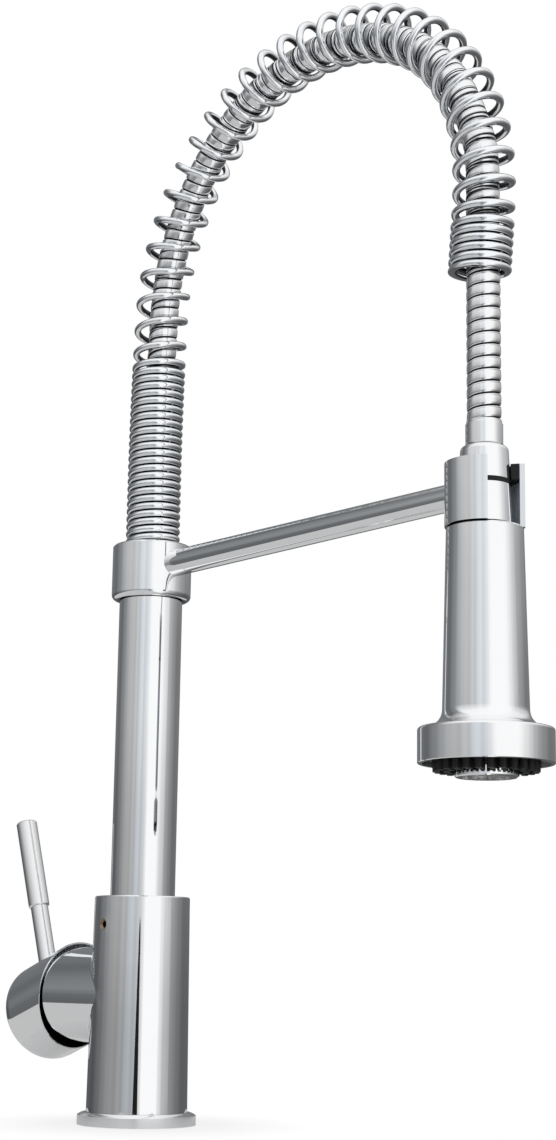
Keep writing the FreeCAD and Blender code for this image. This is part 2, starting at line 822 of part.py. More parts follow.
def dock_clip():
    ring = tube(dock_r, dock_r - dock_wall, dock_bottom_z, dock_top_z)
    ring = on_head(ring.cut(mouth_wedge(dock_half_opening, dock_half_opening, 2 * dock_r)))
    reach = dock_r - dock_wall + arm_end_recess - seat_gap
    hole = Vector(head_x - reach - dock_r, 0, arm_z)
    stud = Part.makeCylinder(arm_end_stud_r + seat_gap, dock_r, hole, Vector(1, 0, 0))
    return ring.cut(stud)


def neck_radius(z):
    """The neck's outside at a height."""
    share = (neck_top_z - z) / (neck_top_z - neck_bottom_z)
    return neck_top_r + share * (neck_bottom_r - neck_top_r)


def dock_liner():
    outer = dock_r - dock_wall - seat_gap
    top = dock_top_z - liner_drop
    low = top - liner_height
    cone = turned(
        (neck_radius(low) + pass_gap, low),
        (outer, low),
        (outer, top),
        (neck_radius(top) + pass_gap, top),
    )
    far_edge = dock_half_opening - liner_tab
    return on_head(cone.cut(mouth_wedge(dock_half_opening, far_edge, 2 * dock_r)))


def polar(heading, length):
    """A step of a given length; heading 0 is up and 90 is towards +X."""
    angle = math.radians(heading)
    return Vector(length * math.sin(angle), 0, length * math.cos(angle))


def arch_pieces(offset, past, run):
    """The arch from the column's plug: each piece is a length, a start heading and a turn."""
    lean = 2 * math.degrees(arch_lean / arch_lean_rise)
    heading = lean + sum(turn for radius, turn in arch_arcs)
    arcs = arch_arcs + ((arch_drop_r, 180 - heading),)
    heading = lean
    reach = 0.0
    for radius, turn in arcs:
        reach += radius * (math.cos(math.radians(heading)) - math.cos(math.radians(heading + turn)))
        heading += turn
    scale = (head_x + offset - arch_lean) / reach
    turns = [(arch_straight, 0.0), (arch_lean_rise, lean)]
    for radius, turn in arcs:
        turns.append((scale * radius * math.radians(turn), turn))
    turns.append((scale * arch_drop_r * math.radians(past), past))
    turns.append((run, 0.0))
    heading = 0.0
    pieces = []
    for length, turn in turns:
        pieces.append((length, heading, turn))
        heading += turn
    return pieces


def arch_point(pieces, distance):
    """The place and the heading at a distance along the arch."""
    here = Vector(0, 0, spring_seat_z)
    for length, heading, turn in pieces:
        part = min(distance, length)
        swept = turn * part / length if length else 0.0
        if abs(swept) < 1e-9:
            step = polar(heading, part)
        else:
            chord = 2 * (part / math.radians(swept)) * math.sin(math.radians(swept) / 2)
            step = polar(heading + swept / 2, chord)
        here = here + step
        distance -= part
        if distance <= 1e-9:
            return here, heading + swept
    return here + polar(heading + turn, distance), heading + turn


def route_length(pieces):
    """The whole length of a route along the arch."""
    return sum(piece[0] for piece in pieces)


def spring_pieces():
    return arch_pieces(spring_offset, spring_end_tilt, spring_end_run)


def eased(turns):
    """Turns counted from the first one, with a gentle beginning."""
    if turns < 0:
        return 0.0
    if turns < spring_ease:
        return turns ** 2 / (2 * spring_ease)
    return turns - spring_ease / 2


def spring_distance(turn):
    """How far along the arch the wire has come after some turns."""
    low = wire_r + seat_gap
    spread = route_length(spring_pieces()) - low - spring_turns * spring_tight_pitch
    past_low = turn - spring_low_turns
    opened = eased(past_low) - eased(past_low - spring_open_turns + spring_ease)
    share = opened / (spring_open_turns - spring_ease)
    uneven = share * (1 - share) * (spring_skew + spring_swell * (1 - 2 * share))
    return low + turn * spring_tight_pitch + spread * (share + uneven)


def spring_point(pieces, turn):
    """A point of the wire's centre line: right-handed turns round the arch."""
    centre, heading = arch_point(pieces, spring_distance(turn))
    angle = 2 * math.pi * (turn + spring_start_turn)
    outward = polar(heading + 90, 1)
    coil_r = spring_r - wire_r
    return centre + outward * (coil_r * math.cos(angle)) + Vector(0, coil_r * math.sin(angle), 0)


def biarc(start, start_way, end, end_way):
    """Two arcs that join two points smoothly, each given as three points."""
    chord = end - start
    ways = start_way + end_way
    bend = 2 * (1 - start_way.dot(end_way))
    lean = chord.dot(ways)
    reach = (-lean + math.sqrt(lean ** 2 + bend * chord.dot(chord))) / bend
    first = start + start_way * reach
    second = end - end_way * reach
    middle = (first + second) * 0.5
    return arc_edge(start, first, middle), arc_edge(middle, second, end)


def arc_edge(start, apex, end):
    """An arc between two points whose tangents meet at an apex."""
    base = (start + end) * 0.5
    rise = apex - base
    half = (end - start).Length / 2
    sagitta = half * math.tan(math.atan2(rise.Length, half) / 2)
    return Part.Arc(start, base + rise.normalize() * sagitta, end).toShape()


def spring():
    pieces = spring_pieces()
    steps = int(round(2 * spring_turns))
    nudge = 0.001
    knots = []
    for i in range(steps + 1):
        turn = i / 2
        ahead = spring_point(pieces, min(turn + nudge, spring_turns))
        behind = spring_point(pieces, max(turn - nudge, 0))
        knots.append((spring_point(pieces, turn), (ahead - behind).normalize()))
    edges = []
    for (start, way), (end, end_way) in zip(knots[:-1], knots[1:]):
        edges.extend(biarc(start, way, end, end_way))
    path = Part.Wire(edges)
    section = Part.Wire(Part.makeCircle(wire_r, knots[0][0], knots[0][1]))
    coil = path.makePipeShell([section], True, False)
    print("spring gap to itself %.2f mm" % spring_gap(edges))
    print("spring volume share %.4f" % (coil.Volume / (math.pi * wire_r ** 2 * path.Length)))
    return coil


def spring_gap(edges):
    """The least gap between one turn and the next, measured on points of the wire."""
    points = []
    for edge in edges:
        points.extend(edge.discretize(7)[:-1])
    per_turn = 4 * 6
    least = min((points[i] - points[j]).Length
                for i in range(len(points))
                for j in range(i + per_turn // 2, min(i + 2 * per_turn, len(points))))
    return least - 2 * wire_r


def hose_pieces():
    """The hose's route, with a straight drop that ends on the ferrule."""
    bends = arch_pieces(0.0, 0.0, 0.0)
    low, heading = arch_point(bends, route_length(bends))
    return arch_pieces(0.0, 0.0, low.z - ferrule_top_z - seat_gap)


def ribbed_hose(start, end):
    """A ribbed tube along the hose's route, between two distances."""
    pieces = hose_pieces()
    ribs = int(round((end - start - 2 * hose_r) / rib_pitch))
    pitch = (end - start - 2 * hose_r) / ribs
    rings = [(start, hose_r)]
    for i in range(ribs):
        low = start + hose_r + i * pitch
        slope = (pitch - rib_crest) / 3
        rings.append((low + slope / 2, hose_r - hose_groove))
        rings.append((low + 3 * slope / 2, hose_r))
        rings.append((low + 3 * slope / 2 + rib_crest, hose_r))
        rings.append((low + pitch - slope / 2, hose_r - hose_groove))
    rings.append((end, hose_r))
    outside = Part.makeLoft([hose_ring(pieces, at, radius) for at, radius in rings], True, True)
    bends = [at for at, radius in rings]
    bore = Part.makeLoft([hose_ring(pieces, at, hose_bore_r) for at in bends[::4] + bends[-1:]], True, True)
    return outside.cut(bore)


def hose_ring(pieces, distance, radius):
    """A circle square to the hose's route, always with the same X axis."""
    centre, heading = arch_point(pieces, distance)
    circle = Part.Circle(Vector(0, 0, 0), Vector(0, 0, 1), radius).toShape()
    turn = FreeCAD.Rotation(Vector(0, 1, 0), heading)
    circle = circle.transformed(FreeCAD.Placement(centre, turn).toMatrix())
    return Part.Wire(circle)


def hose_split():
    """How far along its route the hose leaves the spring's free end."""
    return route_length(hose_pieces()) - (hose_split_z - ferrule_top_z - seat_gap)


def hose_arch():
    return ribbed_hose(hose_start_z + seat_gap - spring_seat_z, hose_split() - seat_gap)


def hose_drop():
    return ribbed_hose(hose_split(), route_length(hose_pieces()))


def hose_ferrule():
    sleeve = turned(
        (barb_r + seat_gap, ferrule_bottom_z),
        (ferrule_r - ferrule_edge, ferrule_bottom_z),
        (ferrule_r, ferrule_bottom_z + ferrule_edge),
        (ferrule_r, ferrule_top_z - ferrule_crimp - ferrule_edge),
        (ferrule_r - ferrule_edge, ferrule_top_z - ferrule_crimp),
        (ferrule_r - ferrule_edge, ferrule_top_z),
        (barb_r + seat_gap, ferrule_top_z),
    )
    return on_head(sleeve)


def hose_barb():
    barb = turned(
        (barb_bore_r, barb_flange_z),
        (barb_flange_r, barb_flange_z),
        (barb_flange_r, barb_flange_z + barb_flange),
        (barb_r, barb_flange_z + barb_flange),
        (barb_r, ferrule_top_z - seat_gap),
        (barb_tail_r, ferrule_top_z - seat_gap),
        (barb_tail_r, ferrule_top_z + barb_tail),
        (barb_bore_r, ferrule_top_z + barb_tail),
    )
    return on_head(barb)


def head_neck():
    bearing = barb_r + run_gap
    shoulder = (neck_top_r - neck_shoulder, neck_top_z - neck_shoulder)
    neck = turned(
        (neck_bore_r, neck_bottom_z - neck_spigot),
        (neck_spigot_r, neck_bottom_z - neck_spigot),
        (neck_spigot_r, neck_bottom_z),
        (neck_bottom_r, neck_bottom_z),
        (neck_top_r, shoulder[1]),
        (corner(shoulder, neck_shoulder, 45), (shoulder[0], neck_top_z)),
        (bearing, neck_top_z),
        (bearing, neck_bearing_z),
        (neck_bore_r, neck_bearing_z),
    )
    return on_head(neck.cut(ring_groove()))


def ring_groove():
    half = neck_ring_height / 2 + seat_gap
    inner = neck_radius(neck_ring_z) - neck_ring_depth
    return tube(neck_bottom_r + 1, inner, neck_ring_z - half, neck_ring_z + half)


def neck_ring():
    inner = neck_radius(neck_ring_z) - neck_ring_depth + seat_gap
    outer = neck_radius(neck_ring_z) - neck_ring_inset
    half = neck_ring_height / 2
    return on_head(tube(outer, inner, neck_ring_z - half, neck_ring_z + half))


def head_washer():
    top = barb_flange_z - face_gap
    return on_head(tube(neck_bore_r - run_gap, barb_bore_r, top - washer_height, top))


def check_valve():
    top = barb_flange_z - face_gap - washer_height - seat_gap
    low = top - check_valve_height
    outer = neck_bore_r - run_gap
    inner = outer - check_valve_wall
    seat_z = top - check_seat_height
    poppet_z = seat_z - poppet_height
    cage = tube(outer, inner, low, top)
    seat = tube(outer, check_seat_r, seat_z, top)
    poppet = rod(poppet_r, poppet_z, seat_z).fuse(rod(poppet_stem_r, low, poppet_z))
    span = 2 * inner + check_valve_wall
    spider = Part.makeBox(span, spider_size, spider_size, Vector(-span / 2, -spider_size / 2, low))
    return on_head(cage.fuse([seat, poppet, spider]).removeSplitter())


def head_body():
    slope = (head_low_r - head_top_r) / (head_top_z - rim_top_z - flare_r)
    flare_z = rim_top_z + flare_r
    foot = (head_low_r + flare_r, flare_z)
    inner_top = neck_spigot_r + seat_gap
    inner_low = head_low_r - head_wall
    spigot_z = head_top_z - neck_spigot - head_step
    shell = turned(
        (inner_top, head_top_z),
        (head_top_r - head_edge, head_top_z),
        (head_top_r + slope * head_edge, head_top_z - head_edge),
        (head_low_r, flare_z),
        (corner(foot, flare_r, 225), (foot[0], rim_top_z)),
        (sleeve_r, rim_top_z),
        (sleeve_r, sleeve_bottom_z),
        (sleeve_r - sleeve_wall, sleeve_bottom_z),
        (sleeve_r - sleeve_wall, rim_top_z + sleeve_web),
        (inner_low, flare_z - head_step),
        (head_top_r - head_wall, spigot_z),
        (inner_top, spigot_z),
    )
    return on_head(shell)


def head_waterway():
    top = neck_bottom_z - neck_spigot - seat_gap
    low = rim_web_z + face_height + diverter_height + 3 * seat_gap + face_gap
    pipe = tube(waterway_r, waterway_r - waterway_wall, low, top)
    inner = waterway_r - waterway_wall
    flange = tube(neck_spigot_r, inner, top - waterway_flange, top)
    plate = tube(sleeve_r - sleeve_wall - seat_gap, inner, low, low + waterway_plate)
    return on_head(pipe.fuse([flange, plate]).removeSplitter())


def spray_ring():
    inner = rim_r - rim_wall
    top = rim_top_z - face_gap
    edge = (rim_r - rim_edge, top - rim_edge)
    ring = turned(
        (inner, rim_bottom_z),
        (rim_r - rim_foot_edge, rim_bottom_z),
        (rim_r, rim_bottom_z + rim_foot_edge),
        (rim_r, edge[1]),
        (corner(edge, rim_edge, 45), (edge[0], top)),
        (sleeve_r + run_gap, top),
        (sleeve_r + run_gap, rim_web_z),
        (inner, rim_web_z),
    )
    return on_head(ring)


def face_plate():
    """The backing disc that clamps the nozzle pad and holds the aerator."""
    outer = rim_r - rim_wall - seat_gap
    top = rim_web_z - seat_gap
    return on_head(tube(outer, aerator_r + seat_gap, top - face_height, top))


def spray_nozzles():
    outer = rim_r - rim_wall - seat_gap
    top = rim_web_z - 2 * seat_gap - face_height
    low = top - pad_height
    pad = tube(outer, aerator_r + seat_gap, low, top)
    tips = []
    for ring_r, count in nozzle_rows:
        for i in range(count):
            x, y = corner((0, 0), ring_r, 360 * i / count)
            height = low + pad_height / 4 - nozzle_tip_z
            tips.append(Part.makeCone(nozzle_tip_r, nozzle_root_r, height, Vector(x, y, nozzle_tip_z)))
    return on_head(pad.fuse(tips))


def aerator_housing():
    inner = aerator_r - aerator_wall
    top = rim_web_z - seat_gap
    cup = turned(
        (inner, aerator_bottom_z),
        (aerator_r - aerator_edge, aerator_bottom_z),
        (aerator_r, aerator_bottom_z + aerator_edge),
        (aerator_r, top),
        (inner, top),
    )
    low = aerator_bottom_z + aerator_lip
    height = rim_web_z - 2 * seat_gap - face_height - pad_height - low
    notch = Part.makeBox(aerator_r, aerator_notch, height,
                         Vector(aerator_r - aerator_notch_depth, -aerator_notch / 2, low))
    for i in range(aerator_notches):
        cup = cup.cut(notch.rotated(Vector(0, 0, 0), Vector(0, 0, 1), 360 * i / aerator_notches))
    return on_head(cup)


def aerator_insert():
    low = aerator_bottom_z + aerator_inset
    disc = rod(aerator_r - aerator_wall - seat_gap, low, low + aerator_height)
    jets = [rod(jet_r, low - 1, low + aerator_height + 1)]
    for ring_r, count in jet_rows:
        for i in range(count):
            x, y = corner((0, 0), ring_r, 360 * i / count)
            jets.append(rod(jet_r, low - 1, low + aerator_height + 1, x, y))
    return on_head(disc.cut(jets))


def diverter_disc():
    low = rim_web_z
    disc = rod(sleeve_r - sleeve_wall - pass_gap, low, low + diverter_height)
    ways = [rod(waterway_r - waterway_wall, low - 1, low + diverter_height + 1)]
    for i in range(diverter_ways):
        x, y = corner((0, 0), diverter_ring_r, 360 * i / diverter_ways)
        ways.append(rod(diverter_way_r, low - 1, low + diverter_height + 1, x, y))
    return on_head(disc.cut(ways))


nodes = (
    base_flange, base_gasket, valve_body, column_set_screw, column_bush,
    cartridge_base, cartridge_seals, cartridge_housing, cartridge_nut, ceramic_fixed_disc,
    cartridge_carrier, tilt_pin, ceramic_moving_disc, disc_driver,
    cartridge_stem, handle_hub, hub_set_screw, lever_rod, lever_grip,
    column_foot, column_seals, column_tube, column_plug, hose_lower_nut,
    arm_collar, collar_screw, arm_rod, dock_clip, dock_liner,
    spring, hose_arch, hose_drop,
    hose_ferrule, hose_barb,
    head_neck, neck_ring, head_washer, check_valve, head_body, head_waterway,
    spray_ring, face_plate, spray_nozzles, aerator_housing, aerator_insert, diverter_disc,
)

os.makedirs("parts", exist_ok=True)
for node in nodes:
    shape = node()
    shape.exportStep("parts/%s.step" % node.__name__)
    box = shape.BoundBox
    print("%-20s %d solids, valid %s, volume %.1f, z %.2f to %.2f"
          % (node.__name__, len(shape.Solids), shape.isValid(), shape.Volume, box.ZMin, box.ZMax))
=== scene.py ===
import json
import math

import bpy
import numpy as np
from mathutils import Matrix, Vector


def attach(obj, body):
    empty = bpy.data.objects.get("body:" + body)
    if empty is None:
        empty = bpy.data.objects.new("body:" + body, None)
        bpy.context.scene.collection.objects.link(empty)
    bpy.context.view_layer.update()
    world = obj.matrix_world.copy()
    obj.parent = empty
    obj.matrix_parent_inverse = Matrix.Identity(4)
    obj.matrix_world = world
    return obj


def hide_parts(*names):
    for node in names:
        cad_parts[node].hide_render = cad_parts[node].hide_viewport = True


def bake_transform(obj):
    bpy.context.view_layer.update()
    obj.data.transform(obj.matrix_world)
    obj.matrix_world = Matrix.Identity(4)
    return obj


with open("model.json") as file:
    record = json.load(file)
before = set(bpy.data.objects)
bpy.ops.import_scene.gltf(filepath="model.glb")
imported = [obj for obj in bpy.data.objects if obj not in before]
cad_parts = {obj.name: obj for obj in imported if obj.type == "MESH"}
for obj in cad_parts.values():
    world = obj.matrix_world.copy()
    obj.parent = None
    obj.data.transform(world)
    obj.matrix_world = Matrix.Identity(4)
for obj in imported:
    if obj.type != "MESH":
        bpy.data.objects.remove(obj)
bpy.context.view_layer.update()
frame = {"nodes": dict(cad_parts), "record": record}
nodes = frame["nodes"]
scene = bpy.context.scene
scene.view_settings.view_transform = "Standard"

MM = 0.001
WHITE = (1, 1, 1, 1)

# Camera, fitted to the photograph; its place is in millimetres
CAMERA_PLACE = (743.225, -553.383, 69.406)
CAMERA_RIGHT = (0.65068473, 0.75920045, 0.01496847)
CAMERA_UP = (0.1424176, -0.14137629, 0.97965809)
CAMERA_LOOK = (-0.74587305, 0.63531678, 0.20011489)
FOCAL_PIXELS = 1961.012
FRAME_PIXELS = 1140
SENSOR = 36.0
CLIP_START = 0.01

# The spring and the hose, as the part's source has them, in millimetres, degrees and turns
SEAT_Z = 264.05
HEAD_X = 219.5
ARCH_STRAIGHT = 36.0
ARCH_LEAN_RISE = 83.6
ARCH_LEAN = 2.25
ARCH_ARCS = ((107.5, 71.7), (122.2, 44.8), (91.8, 58.5))
ARCH_DROP_R = 150.0
WIRE_R = 1.65
SPRING_R = 13.05
TIGHT_PITCH = 3.76
LOW_TURNS = 24.0
OPEN_TURNS = 30.5
END_TURNS = 5.0
EASE = 2.0
SKEW = 0.115
SWELL = -0.135
START_TURN = 0.365
SEAT_GAP = 0.05
SPRING_OFFSET = 0.8
SPRING_TILT = 5.0
SPRING_RUN = 26.0
HOSE_R = 6.95
HOSE_START_Z = 296.15
HOSE_SPLIT_Z = 386.0
HOSE_END_Z = 286.05

# What the picture has besides
SPRING_LAP = 0.26           # turns past the free end, which put the tip behind the hose
GROUND_AT = 0.28            # the free end is ground flat this far past the spring's route
WIRE_EDGE = 0.25            # bevel at the wire's ends
RIB_PITCH = 5.15            # of the hose, counted in the photograph
HOSE_SAG = 2.0              # in the bend the hose lies this far towards the arch's inside
SAG_FROM = (60.0, 110.0)    # it goes aside between these distances along the hose
SAG_TO = (12.0, 45.0)       # and comes back between these, counted back from the split


def node_input(node, name, value):
    node.inputs[name].default_value = value


def new_material(name):
    """A material with an empty Principled surface; returns it with its tree and shader."""
    material = bpy.data.materials.new(name)
    material.use_nodes = True
    tree = material.node_tree
    return material, tree, tree.nodes["Principled BSDF"]


def place(tree, scale):
    """An object's own coordinates in metres, stretched by a scale along each axis."""
    coords = tree.nodes.new("ShaderNodeTexCoord")
    mapping = tree.nodes.new("ShaderNodeMapping")
    node_input(mapping, "Scale", scale)
    tree.links.new(coords.outputs["Object"], mapping.inputs["Vector"])
    return mapping.outputs["Vector"]


def noise(tree, vector, scale, detail=3.0, roughness=0.55):
    texture = tree.nodes.new("ShaderNodeTexNoise")
    node_input(texture, "Scale", scale)
    node_input(texture, "Detail", detail)
    node_input(texture, "Roughness", roughness)
    tree.links.new(vector, texture.inputs["Vector"])
    return texture.outputs["Fac"]


def spread(tree, value, low, high, start=0.3, end=0.7):
    """Maps a value between a start and an end to a range of numbers."""
    ranged = tree.nodes.new("ShaderNodeMapRange")
    node_input(ranged, "From Min", start)
    node_input(ranged, "From Max", end)
    node_input(ranged, "To Min", low)
    node_input(ranged, "To Max", high)
    tree.links.new(value, ranged.inputs["Value"])
    return ranged.outputs["Result"]


def blend(tree, how, share, first, second):
    """Blends two colours, each a socket or a plain colour, by a share that is a socket or a number."""
    node = tree.nodes.new("ShaderNodeMix")
    node.data_type = "RGBA"
    node.blend_type = how
    for slot, value in ((0, share), (6, first), (7, second)):
        if isinstance(value, (float, tuple)):
            node.inputs[slot].default_value = value
        else:
            tree.links.new(value, node.inputs[slot])
    return node.outputs[2]


def tint(tree, value, dark, light):
    """Mixes two plain colours by a texture's value."""
    return blend(tree, "MIX", value, (*dark, 1), (*light, 1))


def bump(tree, height, distance):
    node = tree.nodes.new("ShaderNodeBump")
    node_input(node, "Strength", 1.0)
    node_input(node, "Distance", distance)
    tree.links.new(height, node.inputs["Height"])
    return node.outputs["Normal"]


def math_node(tree, operation, first, second):
    node = tree.nodes.new("ShaderNodeMath")
    node.operation = operation
    for socket, value in zip(node.inputs, (first, second)):
        if isinstance(value, float):
            socket.default_value = value
        else:
            tree.links.new(value, socket)
    return node.outputs[0]


# Metals and mouldings; lengths in metres
# Painted shade: metal colours darken towards near-black in narrow gaps, by ambient occlusion
GAP_SAMPLES = 8
PAINTED_SHADE_COLOUR = (0.04, 0.04, 0.042, 1)
GAP_OPEN = (0.08, 0.55)
CLOUD_SCALE = 45.0
WAVE_SCALE = 60.0


def painted_gap_shade(tree, colour, reach):
    """Darkens a colour in gaps narrower than a reach: painted shade, from ambient occlusion."""
    gaps = tree.nodes.new("ShaderNodeAmbientOcclusion")
    gaps.samples = GAP_SAMPLES
    node_input(gaps, "Distance", reach)
    return blend(tree, "MIX", spread(tree, gaps.outputs["AO"], 0.0, 1.0, *GAP_OPEN), PAINTED_SHADE_COLOUR, colour)


def metal(name, dark, light, rough, scale=(1, 1, 1), grain=900.0, depth=0.0, waves=0.0, gaps=0.0015):
    """Metal with a cloudy tint, uneven polish, fine grain, the slow waves of a plated surface and painted
    shade in gaps.
    """
    material, tree, shader = new_material(name)
    node_input(shader, "Metallic", 1.0)
    cloud = noise(tree, place(tree, (1, 1, 1)), CLOUD_SCALE)
    colour = tint(tree, cloud, dark, light)
    tree.links.new(painted_gap_shade(tree, colour, gaps), shader.inputs["Base Color"])
    fine = noise(tree, place(tree, scale), grain, detail=4.0)
    tree.links.new(spread(tree, fine, *rough), shader.inputs["Roughness"])
    normal = None
    if depth:
        normal = bump(tree, fine, depth)
    if waves:
        slow = bump(tree, noise(tree, place(tree, (1, 1, 1)), WAVE_SCALE, detail=1.0), waves)
        if normal:
            tree.links.new(normal, slow.node.inputs["Normal"])
        normal = slow
    if normal:
        tree.links.new(normal, shader.inputs["Normal"])
    return material


def moulded(name, dark, light, rough, grain=1500.0, depth=0.00003, specular=0.5):
    """Moulded plastic or rubber with a fine texture."""
    material, tree, shader = new_material(name)
    node_input(shader, "Specular IOR Level", specular)
    fine = noise(tree, place(tree, (1, 1, 1)), grain, detail=4.0)
    tree.links.new(tint(tree, fine, dark, light), shader.inputs["Base Color"])
    tree.links.new(spread(tree, fine, *rough), shader.inputs["Roughness"])
    tree.links.new(bump(tree, fine, depth), shader.inputs["Normal"])
    return material


CHROME_DARK = (0.93, 0.94, 0.95)
CHROME_LIGHT = (0.96, 0.965, 0.97)
CHROME_ROUGH = (0.02, 0.05)
chrome = metal("polished_chrome", CHROME_DARK, CHROME_LIGHT, CHROME_ROUGH, waves=0.00003)
cast = metal("cast_chrome", CHROME_DARK, CHROME_LIGHT, CHROME_ROUGH, waves=0.00015)
satin = metal("satin_chrome", (0.88, 0.885, 0.89), (0.91, 0.915, 0.92), (0.23, 0.26),
              grain=120.0, gaps=0.0002)
brushed = metal("brushed_chrome", (0.91, 0.915, 0.925), (0.96, 0.965, 0.97), (0.03, 0.07),
                scale=(0.02, 0.02, 1), grain=5000.0, depth=0.000002)
flange_chrome = metal("flange_chrome", CHROME_DARK, CHROME_LIGHT, (0.20, 0.26))
# The wire and the hose get painted shade in gaps several millimetres wide, between coils and under the wire
wire = metal("spring_wire", (0.90, 0.92, 0.945), (0.955, 0.967, 0.985), (0.05, 0.10),
             grain=1800.0, gaps=0.006)
# Near-black wire for the coil's inside: painted shade
wire_painted_shade = metal("wire_painted_shade", (0.07, 0.07, 0.075), (0.12, 0.12, 0.125), (0.15, 0.25), grain=1800.0)
hose_steel = metal("hose_steel", (0.90, 0.908, 0.92), (0.965, 0.968, 0.972), (0.09, 0.16),
                   grain=2200.0, gaps=0.007)
# Near-black metal for the bottom of the hose's groove: painted shade
hose_groove_shade = metal("hose_groove_shade", (0.012, 0.012, 0.012), (0.03, 0.03, 0.03), (0.4, 0.55), grain=2200.0)
steel = metal("screw_steel", (0.48, 0.48, 0.49), (0.56, 0.56, 0.57), (0.25, 0.4), grain=2500.0)
brass = metal("brass", (0.68, 0.50, 0.22), (0.80, 0.62, 0.32), (0.2, 0.34),
              grain=2500.0, depth=0.000004, gaps=0.005)
bronze = metal("dull_bronze", (0.26, 0.19, 0.12), (0.40, 0.30, 0.19), (0.22, 0.36), grain=2500.0, gaps=0.003)
black_rubber = moulded("black_rubber", (0.010, 0.010, 0.011), (0.020, 0.020, 0.022), (0.38, 0.55),
                       specular=0.2)
seal_rubber = moulded("seal_rubber", (0.02, 0.02, 0.02), (0.03, 0.03, 0.03), (0.6, 0.75))
black_plastic = moulded("black_plastic", (0.015, 0.015, 0.016), (0.03, 0.03, 0.032), (0.28, 0.42),
                        depth=0.00001)
grey_plastic = moulded("grey_plastic", (0.20, 0.205, 0.19), (0.27, 0.275, 0.255), (0.25, 0.4),
                       depth=0.00001)
white_plastic = moulded("white_plastic", (0.80, 0.80, 0.78), (0.88, 0.88, 0.86), (0.35, 0.5),
                        depth=0.00001)
ceramic = moulded("ceramic", (0.88, 0.87, 0.85), (0.93, 0.92, 0.90), (0.12, 0.2), depth=0.000002)


def vector_node(tree, operation, first, second):
    node = tree.nodes.new("ShaderNodeVectorMath")
    node.operation = operation
    for socket, value in zip(node.inputs, (first, second)):
        if isinstance(value, tuple):
            socket.default_value = value
        else:
            tree.links.new(value, socket)
    return node.outputs["Vector" if operation in ("SUBTRACT", "CROSS_PRODUCT") else "Value"]


def object_place(tree):
    """An object's own coordinates, whole and by axis."""
    coords = tree.nodes.new("ShaderNodeTexCoord")
    split = tree.nodes.new("ShaderNodeSeparateXYZ")
    tree.links.new(coords.outputs["Object"], split.inputs[0])
    return coords.outputs["Object"], split.outputs


def from_axis(tree, place_at, centre, axis):
    """The arm from a point on an axis and the distance from that axis."""
    arm = vector_node(tree, "SUBTRACT", place_at, centre)
    return arm, vector_node(tree, "LENGTH", vector_node(tree, "CROSS_PRODUCT", arm, axis), (0, 0, 0))


def bare_or_painted_light(material, shown, colour, rough):
    """Leaves a material's finish where a share is 1, and puts another colour and roughness where it is 0; the
    hub and the neck use it for painted shade and painted light, the clip for its bare bore.
    """
    tree = material.node_tree
    shader = tree.nodes["Principled BSDF"]
    for name, bare in (("Base Color", colour), ("Roughness", (rough, rough, rough))):
        finish = shader.inputs[name].links[0].from_socket
        tree.links.new(blend(tree, "MIX", shown, (*bare, 1), finish), shader.inputs[name])


# Where the finish changes on cast pieces, in metres; a pair is where a change starts and where it is full:
# painted shade and painted light inside the hub's skirt, a painted shadow at the neck's foot, and a bare
# casting in the clip's bore
EDGE_BLEND = 0.00005
HUB_CENTRE = (-0.0483, 0.0, 0.057)
HUB_LEAN = math.radians(19.0)
HUB_INSIDE_R = 0.02275
LIP_FROM_Y = (-0.0155, -0.012)
LIP_FROM_Z = (0.064, 0.070)
TOP_FROM_Z = (0.062, 0.070)
CROWN_FROM = (0.0265, 0.027)
HUB_PAINTED_SHADE, HUB_PAINTED_SHADE_ROUGH = (0.004, 0.004, 0.004), 0.7
HUB_PAINTED_LIGHT, HUB_PAINTED_LIGHT_ROUGH = (0.90, 0.93, 1.0), 0.6
# Painted shadow: the neck is near-black below this height, in the joint on the head's ledge
NECK_FOOT_Z = 0.2436
NECK_JOINT_SHADE, NECK_JOINT_SHADE_ROUGH = (0.006, 0.006, 0.006), 0.6
CLIP_INSIDE_R = 0.0140
CLIP_BORE, CLIP_BORE_ROUGH = (0.46, 0.50, 0.57), 0.45


def make_hub_chrome():
    """Chrome on the hub's outside; inside its skirt, painted shade below and painted light at the top."""
    material = metal("hub_chrome", CHROME_DARK, CHROME_LIGHT, CHROME_ROUGH, waves=0.00003)
    tree = material.node_tree
    place_at, axes = object_place(tree)
    axis = (-math.cos(HUB_LEAN), 0.0, -math.sin(HUB_LEAN))
    arm, off_axis = from_axis(tree, place_at, HUB_CENTRE, axis)
    lip = math_node(tree, "MULTIPLY", spread(tree, axes["Y"], 0.0, 1.0, *LIP_FROM_Y),
                    spread(tree, axes["Z"], 0.0, 1.0, *LIP_FROM_Z))
    crown = spread(tree, vector_node(tree, "DOT_PRODUCT", arm, axis), 0.0, 1.0, *CROWN_FROM)
    skirt = spread(tree, off_axis, 0.0, 1.0, HUB_INSIDE_R - EDGE_BLEND, HUB_INSIDE_R)
    outside = math_node(tree, "MAXIMUM", crown, skirt)
    # Painted shade: near-black inside the skirt
    bare_or_painted_light(material, math_node(tree, "MAXIMUM", lip, outside), HUB_PAINTED_SHADE, HUB_PAINTED_SHADE_ROUGH)
    # Painted light: light grey inside the skirt at its top
    below = spread(tree, axes["Z"], 1.0, 0.0, *TOP_FROM_Z)
    bare_or_painted_light(material, math_node(tree, "MAXIMUM", below, outside), HUB_PAINTED_LIGHT, HUB_PAINTED_LIGHT_ROUGH)
    return material


